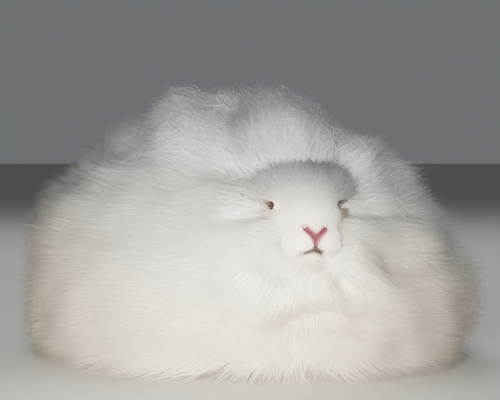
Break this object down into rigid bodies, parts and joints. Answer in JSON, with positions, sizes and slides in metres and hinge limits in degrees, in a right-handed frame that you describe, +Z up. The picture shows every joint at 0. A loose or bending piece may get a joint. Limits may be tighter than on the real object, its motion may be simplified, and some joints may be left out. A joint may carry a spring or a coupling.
{
  "type": "angora rabbit",
  "caption": "Still life-size rabbit in a very long white wool coat, sitting as a soft dome with its head turned a little, short-furred face, half-shut eyes, and long tufted ears that stand out of the wool.",
  "frame": {"origin": "on the floor, under the middle of the rabbit's box in X and Y", "axes": "+Z up, +Y towards the rump, -Y towards the chest, +X towards the rabbit's left side"},
  "size_m": [0.4344, 0.4906, 0.272],
  "materials": {
    "wool": "soft long white wool",
    "ear": "thin pink skin with short white fur",
    "eye": "wet dark red eye"
  },
  "bodies": {
    "root": {"torso": "wool", "neck": "wool", "head": "wool", "tail": "wool", "eye_right": "eye", "eye_left": "eye", "ear_right": "ear", "ear_left": "ear", "foreleg_right": "wool", "foreleg_left": "wool", "hind_leg_right": "wool", "hind_leg_left": "wool"}
  },
  "joints": []
}
